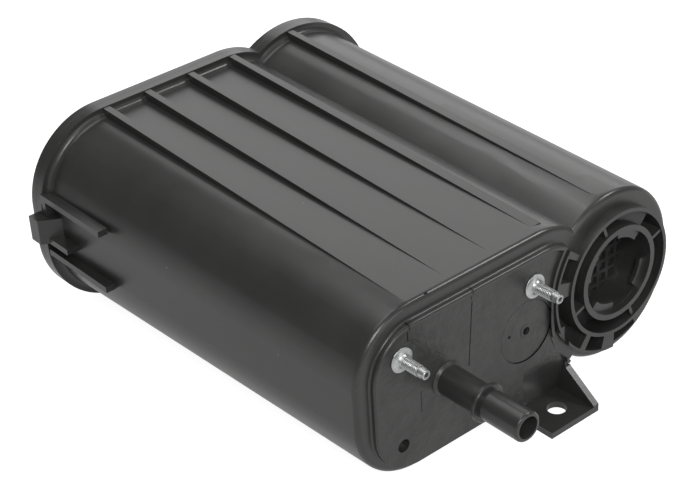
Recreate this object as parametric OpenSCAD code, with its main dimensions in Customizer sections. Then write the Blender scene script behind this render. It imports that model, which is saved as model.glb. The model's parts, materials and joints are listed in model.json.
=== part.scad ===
// Vapour canister: a drafted, ribbed moulded housing with a wide main chamber and a round side chamber,
// closed at the rear by a welded cover. The origin is midway between the two studs, on the faces of their
// flanges. X runs to the side chamber, Y runs from the panel to the cover, Z is up. The modules measure Y
// from the panel face, and seated() moves each finished piece back to the origin.

/* [Main chamber] */
// Distance from the origin to the left side at the front edge
left_reach = 71; // [65:0.5:90]
// Width of the main chamber at the front edge
main_w = 158; // [150:0.5:166]
// Height of the main chamber at the front edge
main_h = 95; // [90:0.5:105]
// Height of the flat top above the studs at the front edge
top_rise = 26.5; // [22:0.5:32]
// Corner radius of the main chamber at the front edge
main_r = 36; // [28:0.5:40]
// Length from the panel face to the weld flange
body_len = 252.5; // [220:0.5:300]
// How far each side leans outwards over the length
draft_rise = 5.8; // [2:0.1:7]
// Wall thickness of the moulding
wall = 2.5; // [2:0.1:3]

/* [Side chamber] */
// Distance from the origin to the middle of the side chamber
side_x = 101.2; // [96:0.2:106]
// Radius of the side chamber at the front edge
side_r = 42.8; // [41:0.2:46]
// Height of the side chamber at the front edge
side_h = 96; // [93:0.5:104]

/* [Front panel] */
// How far the panel stands in front of the shoulder
panel_raise = 2; // [1:0.1:4]
// Width of the shoulder round the panel
shoulder_w = 8.5; // [5:0.5:12]
// Width of the raised bead round the panel
bead_w = 3.6; // [2.4:0.1:5]
// Height of the bead above the panel face
bead_h = 1.6; // [0.6:0.1:2.4]
// Rounding of the bead and of its foot
panel_edge_r = 1.2; // [0.4:0.1:1.4]
// Rounding of the front edge of the body
body_edge_r = 3; // [1.5:0.1:5]
// Width of the two notches in the top of the front edge
notch_w = 2; // [1:0.1:4]
// Width of the shoulder below the panel
panel_low_w = 3.5; // [2:0.5:8]
// Gap between the panel border and the side chamber
border_gap = 2; // [1:0.1:4]
// Radius of the moulding gate disc
gate_r = 17.4; // [10:0.2:18]
// Place of the gate disc to the right of the origin
gate_x = 38.4; // [30:0.2:40]
// Place of the gate disc below the studs
gate_drop = 24.6; // [20:0.2:35]
// Depth of the gate disc
gate_depth = 0.5; // [0.2:0.1:1]
// Radius of the blind locating hole
locator_r = 3.6; // [1.5:0.1:4]
// Depth of the blind locating hole
locator_depth = 4; // [2:0.5:6]
// Place of the locating hole to the left of the origin
locator_x = 44.8; // [36:0.2:50]
// Place of the locating hole below the studs
locator_drop = 50.4; // [44:0.2:53]

/* [Top ribs] */
// Middle of the leftmost rib, to the left of the origin
rib_first_x = 32.8; // [25:0.2:40]
// Distance from the first rib to the second
rib_first_gap = 27.6; // [20:0.2:32]
// Distance between the other ribs
rib_pitch = 29.8; // [20:0.2:31]
// Width of a rib at the flange
rib_rear_w = 4; // [2:0.1:6]
// Width of a rib where it runs out at the front
rib_front_w = 6.5; // [4:0.1:9]
// Distance from the panel face to the run-out of the ribs
rib_start = 9; // [6:0.5:30]

/* [Weld flange and cover] */
// How far the flange stands out from the side walls
flange_lip = 5.2; // [4:0.1:8]
// Thickness of the flange
flange_t = 5; // [3:0.1:8]
// Fillet where the walls meet the flange
flange_fillet = 3.6; // [1:0.1:3.8]
// Thickness of the cover rim
cover_rim_t = 5; // [3:0.1:8]
// Width of the cover rim round the raised pan
cover_rim_w = 8; // [6:0.1:12]
// Depth of the raised pan of the cover
pan_depth = 9; // [6:0.5:16]
// Height of the stiffening ribs on the pan
pan_rib_h = 1.6; // [0.8:0.1:2.4]
// Distance between the stiffening ribs
pan_rib_pitch = 46; // [30:1:50]

/* [Fastening studs] */
// Distance between the two studs
stud_pitch = 88; // [84:0.5:92]
// Thread radius of a stud
stud_r = 3; // [2.5:0.5:4]
// Length of a stud in front of the panel
stud_len = 17.7; // [12:0.1:24]
// Length of the plain point
stud_point = 3; // [2:0.1:4]
// Radius of the stud flange
stud_flange_r = 6.4; // [5:0.1:7]
// Thickness of the stud flange
stud_flange_t = 1.8; // [1:0.1:3]
// Length of the stud inside the panel
stud_root = 7; // [4:0.5:9]
// Radius of the root inside the panel
stud_root_r = 3.8; // [3.4:0.1:4.4]

/* [Hose nipple] */
// Place of the nipple to the left of the origin
nipple_x = 15.7; // [5:0.1:22]
// Place of the nipple below the studs
nipple_drop = 25.2; // [20:0.1:32]
// Outer radius of the tube
nipple_r = 8; // [6:0.1:9]
// Radius of the bore
nipple_bore_r = 5.9; // [4:0.1:5.9]
// Length in front of the panel
nipple_len = 54.8; // [40:0.2:70]
// Place of the collar in front of the panel
collar_at = 26.5; // [18:0.1:34]
// Width of the collar
collar_w = 2.4; // [1.5:0.1:4]
// Radius of the collar
collar_r = 10.2; // [9.4:0.1:12]
// Depth of the groove in front of the collar
groove_depth = 0.7; // [0.3:0.1:1]

/* [Vent socket] */
// Place of the socket to the right of the origin
vent_x = 102.2; // [100:0.1:104]
// Place of the socket below the studs
vent_drop = 17.7; // [15:0.1:22]
// Outer radius of the outer ring
ring_a_r = 35.8; // [34:0.1:37]
// Wall of the outer ring
ring_a_wall = 2.1; // [1.5:0.1:2.6]
// Outer radius of the inner ring
ring_b_r = 26.5; // [25:0.1:28]
// Radius of the socket bore
vent_r = 23.5; // [21:0.1:24]
// How far the rings stand in front of the panel
ring_reach = 3.6; // [2:0.1:6]
// Depth of the channel between the rings behind the panel face
channel_depth = 11; // [6:0.5:13]
// Inner radius of the bayonet lips
lip_r = 18.6; // [16:0.1:20]
// Arc of one bayonet lip in degrees
lip_arc = 43; // [20:1:60]
// Depth of the lips behind the ring face
lip_inset = 2.8; // [1:0.1:5]
// Thickness of the lips
lip_t = 2.4; // [1.5:0.1:4]
// Thickness of the ribs between the rings
web_t = 1.8; // [1:0.1:3]
// Depth of the grid behind the panel face
grid_at = 17; // [14:0.5:20]
// Thickness of the grid
grid_t = 2.5; // [1.5:0.1:4]
// Distance between the grid bars
grid_pitch = 6.4; // [5:0.1:9]
// Width of a grid bar
grid_bar = 2; // [1:0.1:3]
// Radius of the land beside and below the outer ring
land_r = 45.4; // [44:0.1:47]
// Width of the rim that the pockets leave on the land
land_rim = 1.4; // [1:0.1:3]
// Depth of the pockets in the land behind the shoulder
pocket_depth = 8; // [4:0.5:10]

/* [Foot bracket] */
// Place of the right side of the bracket to the right of the origin
foot_right = 70; // [62:0.2:78]
// Width of the foot plate
foot_w = 34; // [28:0.5:40]
// Thickness of the foot plate and of its web
foot_t = 3.6; // [2.5:0.1:5]
// How far the plate reaches in front of the panel
foot_front = 20.2; // [14:0.1:26]
// How far the plate reaches behind the panel face
foot_back = 26; // [20:0.5:40]
// Radius of the bolt hole
foot_hole_r = 5.25; // [3:0.05:6]
// Place of the hole in front of the panel
foot_hole_y = 7; // [6:0.2:10]
// Place of the hole from the right side of the bracket
foot_hole_x = 17; // [12:0.2:20]
// Height of the web above the bottom of the body
web_rise = 8; // [4:0.5:12]
// Start of the recess in the panel above the foot, below the studs
scoop_drop = 36; // [32:0.5:42]
// Depth of the recess at the foot plate
scoop_depth = 6; // [4:0.2:8]

/* [Slide mount] */
// Length of the slide rails in front of the flange
rail_len = 56; // [40:0.5:70]
// Thickness of a rail
rail_t = 3.6; // [2.5:0.1:5]
// Upper face of the upper rail above the studs
rail_upper = 1.8; // [-2:0.1:4]
// Upper face of the lower rail below the studs
rail_lower = 33; // [28:0.1:36]
// Length of the latch bar in front of the flange
latch_len = 24; // [16:0.5:32]
// Height of the latch head
latch_head_h = 15; // [10:0.5:18]
// How far the latch head stands out beyond the flange
latch_reach = 6.5; // [3:0.1:9]

/* [Filling] */
// Depth of the space between the panel and the front filter
plenum = 14; // [12:0.5:20]
// Thickness of each filter
filter_t = 6; // [3:0.5:9]
// Length of the space for the springs, from the rear filters to the flange
spring_room = 38.5; // [36:0.5:60]
// Thickness of the retainer plates
plate_t = 4; // [2.5:0.1:6]
// Distance between the slots of the retainer plates
slot_pitch = 13; // [11:0.5:20]
// Width of a slot
slot_w = 7; // [4:0.1:8]
// Clearance between the filling and the walls
fill_gap = 0.3; // [0.2:0.05:0.6]

/* [Springs] */
// Mean radius of the coils
spring_r = 14; // [11:0.1:16]
// Radius of the spring wire
wire_r = 1; // [0.6:0.1:1.4]
// Active turns of a spring
spring_turns = 5; // [3:1:7]
// Half the distance between the two main springs
spring_spread = 32; // [28:0.5:40]
// Height of the locating bosses and cups
seat_h = 3; // [2:0.1:4]

/* [Hidden] */
$fn = 64;

// Colours of the moulding, the metal and the filling
moulding_colour = "#26282a";
zinc_colour = "#c9cac6";
carbon_colour = "#1b1b1c";
filter_colour = "#3c3c3a";
plate_colour = "#3a3d40";
steel_colour = "#9aa0a6";

// Corners of the two chambers at the front edge
main_x0 = -left_reach;
main_x1 = main_x0 + main_w;
main_z1 = top_rise;
main_z0 = top_rise - main_h;
side_z0 = main_z0;
side_z1 = side_z0 + side_h;
mid_z = (main_z0 + main_z1) / 2;

// Planes and growths that the pieces share
function grow(y) = draft_rise * y / body_len;
lip_g = draft_rise + flange_lip;
rear_y = body_len + flange_t;
rim_y = rear_y + cover_rim_t;
pan_y = rim_y + pan_depth;
seat_y = pan_y - wall;
floor_z = main_z0 - lip_g;
side_front = grid_at + grid_t;
bite = 0.4;
// Small bevel of the turned edges
bevel = 0.5;

// Angles round the vent axis, in degrees from X towards Z
web_angles = [20, 110, 200, 290];
lip_angles = [43, 133, 223, 313];
ramp_angles = [45, 200];
ramp_arc = 47;
land_span = [141, 267];
pocket_spans = [[146, 164], [176, 231], [237, 255]];
low_pocket = [269, 294];

// Flat end of the main space, and the panel's extra reach below its outline
main_end = main_x1 - main_r + 2 * wall;
panel_low = shoulder_w - panel_low_w;

// Recess above the foot: a cylinder along X that leaves the panel face at a shallow angle
plate_z = floor_z + foot_t;
foot_x = foot_right - foot_w;
scoop_h = -scoop_drop - plate_z;
scoop_s = scoop_depth + bite;
scoop_r = (scoop_h * scoop_h + scoop_s * scoop_s) / (2 * scoop_s);

// Middle of the springs, the vent and the latch
vent_z = -vent_drop;
main_spring_x = (main_x0 + side_x - side_r) / 2;
side_mid_z = (side_z0 + side_z1) / 2;
bed_end = body_len - spring_room;
spring_len = seat_y - (bed_end + filter_t + plate_t);
latch_z = (rail_upper - rail_t - rail_lower) / 2 - latch_head_h / 3;

// A profile is a list of [distance from the panel face, growth of the outline].
// Rounded edge from a front face at y to a side wall at growth g
function round_edge(y, g, r, n = 4) = [
    for (i = [0:n]) let (a = 90 * i / n) [y + r * (1 - cos(a)), g - r + r * sin(a)]
];
// Hollow fillet from a side wall at growth g to a face at y
function hollow_edge(y, g, r, n = 4) = [
    for (i = [0:n]) let (a = 90 * i / n) [y - r + r * sin(a), g + r * (1 - cos(a))]
];
body_profile = concat(
    round_edge(panel_raise, grow(panel_raise + body_edge_r), body_edge_r),
    hollow_edge(body_len, grow(body_len - flange_fillet), flange_fillet),
    [[body_len, lip_g], [rear_y, lip_g]]
);
panel_profile = concat(
    round_edge(-bead_h, -shoulder_w, panel_edge_r, 3),
    hollow_edge(panel_raise, -shoulder_w, panel_edge_r, 3),
    [[panel_raise + wall, panel_edge_r - shoulder_w]]
);
// Recess that leaves the bead standing round the panel face
recess_profile = concat(
    [[-2 * bead_h, -shoulder_w - bead_w / 3]],
    [[0, -shoulder_w - bead_w]]
);
cover_profile = concat(
    [[rear_y, lip_g], [rim_y, lip_g], [rim_y, lip_g - cover_rim_w]],
    [[pan_y - 2 * wall, lip_g - cover_rim_w - wall], [pan_y, lip_g - cover_rim_w - 3 * wall]]
);
cover_hollow = [
    [rear_y - bite, lip_g - cover_rim_w - wall],
    [pan_y - 2 * wall, lip_g - cover_rim_w - 2 * wall],
    [seat_y, lip_g - cover_rim_w - 3 * wall]
];
// Inner space between two planes, a given distance inside the outer walls
function inner_profile(y0, y1, inset) = [[y0, grow(y0) - inset], [y1, grow(y1) - inset]];

// Turns a profile round an axis along Y
module turned(x, z, r, profile) {
    last = len(profile) - 1;
    edge = [for (p = profile) [r + p[1], p[0]]];
    translate([x, 0, z])
        rotate([-90, 0, 0])
            rotate_extrude()
                polygon(concat([[0, profile[0][0]]], edge, [[0, profile[last][0]]]));
}

// Profile drawn between two heights or two sides, mirrored about their middle
function mirrored(profile, low, high, swap) = let (
    last = len(profile) - 1,
    up = [for (p = profile) swap ? [high + p[1], p[0]] : [p[0], high + p[1]]],
    down = [for (i = [last:-1:0]) let (p = profile[i]) swap ? [low - p[1], p[0]] : [p[0], low - p[1]]]
) concat(up, down);

// Rounded block whose section along Y follows a profile
module chamber(x0, x1, z0, z1, r, profile) {
    for (x = [x0 + r, x1 - r], z = [z0 + r, z1 - r])
        turned(x, z, r, profile);
    translate([x0 + r, 0, 0])
        rotate([90, 0, 90])
            linear_extrude(height = x1 - x0 - 2 * r)
                polygon(mirrored(profile, z0, z1, false));
    translate([0, 0, z0 + r])
        linear_extrude(height = z1 - z0 - 2 * r)
            polygon(mirrored(profile, x0, x1, true));
}

// Upright oval whose section along Y follows a profile
module oval(x, z0, z1, r, profile) {
    for (z = [z0 + r, z1 - r])
        turned(x, z, r, profile);
    translate([0, 0, z0 + r])
        linear_extrude(height = z1 - z0 - 2 * r)
            polygon(mirrored(profile, x - r, x + r, true));
}

// Outline of the panel, with its lower edge moved down
module panel_form(low, profile) {
    chamber(main_x0, main_x1, main_z0 - low, main_z1, main_r, profile);
}

module main_form(profile) {
    chamber(main_x0, main_x1, main_z0, main_z1, main_r, profile);
}

module side_form(profile) {
    oval(side_x, side_z0, side_z1, side_r, profile);
}

// Rounded block with a flat right end, for the space inside the main chamber
module main_block(x1, profile) {
    last = len(profile) - 1;
    left = [for (p = profile) [main_x0 - p[1], p[0]]];
    inner = main_x0 + 1.5 * main_r;
    for (z = [main_z0 + main_r, main_z1 - main_r])
        turned(main_x0 + main_r, z, main_r, profile);
    translate([main_x0 + main_r, 0, 0])
        rotate([90, 0, 90])
            linear_extrude(height = x1 - main_x0 - main_r)
                polygon(mirrored(profile, main_z0, main_z1, false));
    translate([0, 0, main_z0 + main_r])
        linear_extrude(height = main_h - 2 * main_r)
            polygon(concat(left, [[inner, profile[last][0]], [inner, profile[0][0]]]));
}

// Space of the main chamber, which ends at the wall of the side chamber
module main_space(y0, y1, inset, gap) {
    difference() {
        main_block(main_end - gap, inner_profile(y0, y1, inset));
        side_form(inner_profile(y0 - 1, y1 + 1, -gap));
    }
}

module side_space(y0, y1, inset) {
    side_form(inner_profile(y0, y1, inset));
}

// Cylinder along Y
module rod(x, z, y0, y1, r) {
    translate([x, y0, z])
        rotate([-90, 0, 0])
            cylinder(h = y1 - y0, r = r);
}

// Part of a ring round the vent axis, between two radii and two angles
module vent_sector(y0, y1, r0, r1, a0, a1) {
    translate([vent_x, y1, vent_z])
        rotate([90, 0, 0])
            rotate([0, 0, a0])
                rotate_extrude(angle = a1 - a0)
                    translate([r0, 0])
                        square([r1 - r0, y1 - y0]);
}

// Wedge of a rib that rises from the body at the front to the flange at the rear
module top_rib(x, z) {
    low = z - wall / 2;
    rib_end = body_len + bevel;
    intersection() {
        translate([x - rib_front_w, 0, 0])
            rotate([90, 0, 90])
                linear_extrude(height = 2 * rib_front_w)
                    polygon([
                        [rib_start, low + grow(rib_start)], [rib_end, low + grow(rib_end)],
                        [rib_end, z + lip_g - bite], [rib_start, z + grow(rib_start)]
                    ]);
        translate([x, 0, low - 1])
            linear_extrude(height = lip_g + wall + 2)
                polygon([
                    [-rib_front_w / 2, rib_start], [rib_front_w / 2, rib_start],
                    [rib_rear_w / 2, rib_end], [-rib_rear_w / 2, rib_end]
                ]);
    }
}

module top_ribs() {
    top_rib(-rib_first_x, main_z1);
    for (i = [0:2])
        top_rib(-rib_first_x + rib_first_gap + i * rib_pitch, main_z1);
    top_rib(side_x - rib_rear_w, side_z1 - bite);
}

// Tube with a collar and a rounded mouth
module nipple_outside() {
    mouth = 1.4;
    root_r = nipple_r + mouth;
    groove_y = collar_at + collar_w;
    groove_w = 1.6;
    groove_r = nipple_r - groove_depth;
    translate([-nipple_x, 0, -nipple_drop])
        rotate([90, 0, 0])
            rotate_extrude()
                polygon(concat(
                    [[0, -wall / 2], [root_r, -wall / 2], [root_r, bevel], [nipple_r, bevel + mouth]],
                    [[nipple_r, collar_at], [collar_r - bevel, collar_at], [collar_r, collar_at + bevel]],
                    [[collar_r, groove_y - bevel], [collar_r - bevel, groove_y]],
                    [[groove_r, groove_y], [groove_r, groove_y + groove_w]],
                    [[nipple_r, groove_y + groove_w + groove_depth]],
                    [for (i = [0:3]) let (a = 30 * i)
                        [nipple_r - mouth * (1 - cos(a)), nipple_len - mouth * (1 - sin(a))]],
                    [[0, nipple_len]]
                ));
}

// Rings, ribs, ramps, lips and grid of the vent socket
module vent_inside() {
    channel_r = ring_a_r - ring_a_wall;
    web_front = -ring_reach + 2 * bite;
    lip_front = lip_inset - ring_reach;
    for (a = web_angles)
        translate([vent_x, 0, vent_z])
            rotate([0, -a, 0])
                translate([ring_b_r - bevel, web_front, -web_t / 2])
                    cube([channel_r - ring_b_r + 2 * bevel, channel_depth - web_front + bevel, web_t]);
    for (a = ramp_angles)
        vent_ramp(a, channel_r);
    for (a = lip_angles)
        vent_sector(lip_front, lip_front + lip_t, lip_r, vent_r + bite, a, a + lip_arc);
    vent_grid();
}

// Ramp on the floor of the channel, high at angle a and low at its other end
module vent_ramp(a, channel_r) {
    block = 4 * ring_a_r;
    difference() {
        vent_sector(0, channel_depth + bevel, ring_b_r - bevel, channel_r + bevel, a, a + ramp_arc);
        translate([vent_x, 0, vent_z])
            rotate([0, -a, 0])
                rotate([-atan(channel_depth / ring_a_r), 0, 0])
                    translate([-block / 2, -block, -block / 2])
                        cube(block);
    }
}

// Lattice at the bottom of the socket
module vent_grid() {
    reach = floor(vent_r / grid_pitch);
    span = 2 * vent_r + 2;
    intersection() {
        rod(vent_x, vent_z, grid_at, grid_at + grid_t, vent_r + bite);
        union() {
            for (i = [-reach:reach]) {
                translate([vent_x + i * grid_pitch - grid_bar / 2, grid_at - 1, vent_z - span / 2])
                    cube([grid_bar, grid_t + 2, span]);
                translate([vent_x - span / 2, grid_at - 1, vent_z + i * grid_pitch - grid_bar / 2])
                    cube([span, grid_t + 2, grid_bar]);
            }
        }
    }
}

// Land beside and below the outer ring
module vent_land() {
    vent_sector(2 * bevel - ring_reach, panel_raise + wall, ring_a_r - 1, land_r, land_span[0], land_span[1]);
}

// Pockets in the land, and one in the shoulder below the ring
module vent_pockets() {
    floor_y = panel_raise + pocket_depth;
    for (span = pocket_spans)
        vent_sector(-ring_reach, floor_y, ring_a_r - 1, land_r - land_rim, span[0], span[1]);
    vent_sector(-1, floor_y, ring_a_r - 1, land_r + land_rim, low_pocket[0], low_pocket[1]);
}

// Notches in the front edge above the left stud
module edge_notches() {
    for (x = [-stud_pitch / 2, -stud_pitch / 2 + 2 * rib_pitch / 3])
        translate([x - notch_w / 2, panel_raise - 1, main_z1 - notch_w / 2])
            cube([notch_w, body_edge_r, notch_w]);
}

// Foot plate with its bolt hole, side web and front wall
module foot_bracket() {
    web_z = main_z0 + web_rise;
    difference() {
        union() {
            translate([foot_x, -foot_front, floor_z])
                cube([foot_w, foot_front + foot_back, foot_t]);
            translate([foot_right - foot_t, 0, 0])
                rotate([90, 0, 90])
                    linear_extrude(height = foot_t)
                        polygon([
                            [-foot_front, floor_z], [foot_back, floor_z], [foot_back, web_z],
                            [0, web_z], [-foot_front, plate_z + 2 * bevel]
                        ]);
            difference() {
                union() {
                    translate([foot_x, wall / 2, floor_z])
                        cube([foot_w - bite, scoop_depth + foot_t, main_z0 + 2 * wall - floor_z]);
                    translate([foot_x - wall, wall / 2, main_z0 + wall / 2])
                        cube([foot_w - bite, scoop_depth + foot_t, -scoop_drop - main_z0 - wall / 2]);
                }
                scoop_cylinder(foot_t);
            }
        }
        translate([foot_right - foot_hole_x, -foot_hole_y, floor_z - 1])
            cylinder(h = foot_t + 2, r = foot_hole_r);
    }
}

// Cylinder along X behind the recess above the foot
module scoop_cylinder(inset) {
    translate([foot_x - foot_t, scoop_r - bite, -scoop_drop])
        rotate([0, 90, 0])
            cylinder(h = foot_w + 2 * foot_t, r = scoop_r - inset);
}

// Recess in the panel that leaves room for the bolt above the foot
module foot_scoop() {
    difference() {
        translate([foot_x, -foot_front, plate_z])
            cube([foot_w - foot_t, foot_front + scoop_depth + 1, scoop_h]);
        scoop_cylinder(0);
    }
}

// Two rails, a stop and a latch on the left side next to the flange
module slide_mount() {
    outer_x = main_x0 - lip_g + bite;
    inner_x = main_x0 - grow(body_len) + wall / 2;
    for (z = [rail_upper, -rail_lower])
        translate([outer_x, body_len - rail_len, z - rail_t])
            cube([inner_x - outer_x, rail_len + bevel, rail_t]);
    translate([outer_x, body_len - rail_t, rail_upper - 3.5 * rail_t])
        cube([inner_x - outer_x, rail_t + bevel, 3 * rail_t]);
    translate([outer_x - latch_reach / 3, body_len - latch_len, latch_z - rail_t])
        cube([inner_x - outer_x + latch_reach / 3, latch_len + bevel, rail_t]);
    translate([outer_x - latch_reach, 0, latch_z - rail_t])
        linear_extrude(height = latch_head_h)
            polygon([
                [0, body_len - rail_t], [latch_reach + 2 * wall, body_len - 3 * rail_t],
                [latch_reach + 2 * wall, rear_y], [0, rear_y]
            ]);
}

// Raised panel with a bead at the top and the sides, cut off along the side chamber
module raised_panel() {
    strip = border_gap + bead_w / 2;
    difference() {
        panel_form(panel_low, panel_profile);
        difference() {
            panel_form(panel_low + 2 * bead_w, recess_profile);
            side_form([[-3 * bead_h, strip], [panel_raise, strip]]);
        }
        side_form([[-bead_h - 1, border_gap], [panel_raise, border_gap]]);
    }
}

// Posts behind the panel that hold the front filter, and the sockets of the studs
module panel_inside() {
    bar_h = main_h - 2 * main_r + 2 * shoulder_w;
    for (x = [main_x0 + main_r / 2, main_spring_x + spring_spread / 2])
        translate([x, wall - bite, mid_z - bar_h / 2])
            cube([wall, plenum - wall + bite, bar_h]);
    for (x = [-stud_pitch / 2, stud_pitch / 2])
        rod(x, 0, wall - bite, stud_root + wall, stud_flange_r + wall / 2);
    rod(-locator_x, -locator_drop, wall - bite, locator_depth + wall, locator_r + wall);
}

// Hollow behind the raised panel
module panel_hollow() {
    inset = -shoulder_w - wall;
    difference() {
        main_block(main_x1 - main_r, [[wall, inset], [panel_raise + wall + 1, inset]]);
        side_form(inner_profile(-1, panel_raise + wall + 2, 0));
    }
}

module housing() {
    color(moulding_colour)
        difference() {
            union() {
                difference() {
                    union() {
                        main_form(body_profile);
                        side_form(body_profile);
                        raised_panel();
                        vent_land();
                    }
                    main_space(panel_raise + wall, rear_y + 1, wall, 0);
                    panel_hollow();
                    side_space(side_front, rear_y + 1, wall);
                    edge_notches();
                    vent_pockets();
                }
                rod(vent_x, vent_z, -ring_reach, side_front, ring_a_r);
                top_ribs();
                nipple_outside();
                foot_bracket();
                slide_mount();
                panel_inside();
            }
            rod(-nipple_x, -nipple_drop, -nipple_len - 1, wall + 1, nipple_bore_r);
            for (x = [-stud_pitch / 2, stud_pitch / 2])
                rod(x, 0, -1, stud_root + fill_gap, stud_root_r + fill_gap);
            rod(-locator_x, -locator_drop, -1, locator_depth, locator_r);
            foot_scoop();
            rod(gate_x, -gate_drop, -1, gate_depth, gate_r);
            difference() {
                rod(vent_x, vent_z, -ring_reach - 1, channel_depth, ring_a_r - ring_a_wall);
                rod(vent_x, vent_z, -ring_reach - 2, channel_depth + 1, ring_b_r);
            }
            rod(vent_x, vent_z, -ring_reach - 1, side_front + 1, vent_r);
        }
    color(moulding_colour)
        vent_inside();
}

module rear_cover() {
    color(moulding_colour) {
        difference() {
            union() {
                main_form(cover_profile);
                side_form(cover_profile);
            }
            main_form(cover_hollow);
            side_form(cover_hollow);
        }
        for (s = [-1, 1])
            spring_cup(main_spring_x + s * spring_spread, mid_z);
        spring_cup(side_x, side_mid_z);
        for (i = [-1:1])
            translate([main_spring_x + i * pan_rib_pitch - wall / 2, pan_y - bite, mid_z - main_h / 3])
                cube([wall, pan_rib_h + bite, 2 * main_h / 3]);
    }
}

// Ring inside the cover that holds the end of a spring
module spring_cup(x, z) {
    inner = spring_r + wire_r + fill_gap;
    difference() {
        rod(x, z, seat_y - seat_h, seat_y + bite, inner + wall / 2);
        rod(x, z, seat_y - seat_h - 1, seat_y + 1, inner);
    }
}

// Studs with a flange, a turned point and a root inside the panel
module mounting_studs() {
    point_y = stud_len - stud_point;
    point_r = stud_r * 0.72;
    color(zinc_colour)
        for (x = [-stud_pitch / 2, stud_pitch / 2])
            translate([x, 0, 0])
                rotate([90, 0, 0])
                    rotate_extrude()
                        polygon([
                            [0, -stud_root], [stud_root_r, -stud_root], [stud_root_r, 0],
                            [stud_flange_r, 0], [stud_flange_r, stud_flange_t - bevel],
                            [stud_flange_r - bevel, stud_flange_t], [stud_r, stud_flange_t],
                            [stud_r, point_y], [point_r, point_y + stud_r - point_r],
                            [point_r, stud_len - bevel], [point_r - bevel, stud_len], [0, stud_len]
                        ]);
}

module main_front_filter() {
    color(filter_colour)
        main_space(plenum, plenum + filter_t, wall + fill_gap, fill_gap);
}

module main_carbon_bed() {
    color(carbon_colour)
        main_space(plenum + filter_t, bed_end, wall + fill_gap, fill_gap);
}

module main_rear_filter() {
    color(filter_colour)
        main_space(bed_end, bed_end + filter_t, wall + fill_gap, fill_gap);
}

// Slots in rows across a retainer plate
module slots(x0, x1, z0, z1, y0, y1) {
    columns = floor((x1 - x0) / slot_pitch);
    rows = floor((z1 - z0) / slot_pitch);
    left = (x0 + x1) / 2 - (columns - 1) * slot_pitch / 2;
    low = (z0 + z1) / 2 - (rows - 1) * slot_pitch / 2;
    for (i = [0:columns - 1], k = [0:rows - 1])
        translate([left + i * slot_pitch - slot_w / 2, y0 - 1, low + k * slot_pitch - slot_w / 2])
            cube([slot_w, y1 - y0 + 2, slot_w]);
}

// Boss that holds a spring in place on a retainer plate
module spring_boss(x, z, y) {
    rod(x, z, y - bite, y + seat_h, spring_r - wire_r - fill_gap);
}

module main_retainer_plate() {
    y0 = bed_end + filter_t;
    y1 = y0 + plate_t;
    color(plate_colour) {
        difference() {
            main_space(y0, y1, wall + fill_gap, fill_gap);
            slots(main_x0 + main_r / 2, side_x - side_r - wall, main_z0 + wall, main_z1 - wall, y0, y1);
        }
        for (s = [-1, 1])
            spring_boss(main_spring_x + s * spring_spread, mid_z, y1);
    }
}

module side_front_filter() {
    color(filter_colour)
        side_space(side_front, side_front + filter_t, wall + fill_gap);
}

module side_carbon_bed() {
    color(carbon_colour)
        side_space(side_front + filter_t, bed_end, wall + fill_gap);
}

module side_rear_filter() {
    color(filter_colour)
        side_space(bed_end, bed_end + filter_t, wall + fill_gap);
}

module side_retainer_plate() {
    y0 = bed_end + filter_t;
    y1 = y0 + plate_t;
    reach = side_r * 0.72;
    color(plate_colour) {
        difference() {
            side_space(y0, y1, wall + fill_gap);
            slots(side_x - reach, side_x + reach, side_mid_z - reach, side_mid_z + reach, y0, y1);
        }
        spring_boss(side_x, side_mid_z, y1);
    }
}

// Compression spring with closed ends, swept as one tube between the plate and the cover
module spring(x, z) {
    sides = 8;
    steps = 16;
    turns = spring_turns + 2;
    rings = turns * steps;
    seat_gap = 0.1;
    close = 2 * wire_r + seat_gap;
    travel = spring_len - 2 * wire_r - 2 * seat_gap - 2 * close;
    // Rise of the wire: one close turn at each end and even turns between
    function lift(t) =
        t < 1 ? t * close :
        t > turns - 1 ? travel + (t - turns + 2) * close :
        close + travel * (t - 1) / (turns - 2);
    points = [
        for (i = [0:rings], k = [0:sides - 1])
            let (a = 360 * i / steps, b = 360 * k / sides, r = spring_r + wire_r * cos(b))
                [r * cos(a), wire_r + seat_gap + lift(i / steps) + wire_r * sin(b), r * sin(a)]
    ];
    tube = [
        for (i = [0:rings - 1], k = [0:sides - 1])
            let (n = (k + 1) % sides)
                [i * sides + k, i * sides + n, (i + 1) * sides + n, (i + 1) * sides + k]
    ];
    caps = [[for (k = [sides - 1:-1:0]) k], [for (k = [0:sides - 1]) rings * sides + k]];
    color(steel_colour)
        translate([x, bed_end + filter_t + plate_t, z])
            polyhedron(points, concat(tube, caps));
}

module main_spring_left() {
    spring(main_spring_x - spring_spread, mid_z);
}

module main_spring_right() {
    spring(main_spring_x + spring_spread, mid_z);
}

module side_spring() {
    spring(side_x, side_mid_z);
}

// Moves a piece from the panel face to the seat of the studs
module seated() {
    translate([0, stud_flange_t, 0])
        children();
}

seated() housing();
seated() rear_cover();
seated() mounting_studs();
seated() main_front_filter();
seated() main_carbon_bed();
seated() main_rear_filter();
seated() main_retainer_plate();
seated() main_spring_left();
seated() main_spring_right();
seated() side_front_filter();
seated() side_carbon_bed();
seated() side_rear_filter();
seated() side_retainer_plate();
seated() side_spring();
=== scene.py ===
# %% [markdown]
# Vapour canister, a lesson in dressing a moulded part
#
# The canister is one big black nylon moulding with a cover welded on its rear end, two plated studs, a hose
# nipple and a vent socket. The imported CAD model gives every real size. This notebook loads it as a fixed
# frame and adds what a CAD model lacks: even shading, cut threads, tool marks, and finishes that look like
# nylon and zinc.

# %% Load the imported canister
import json
import math

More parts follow.
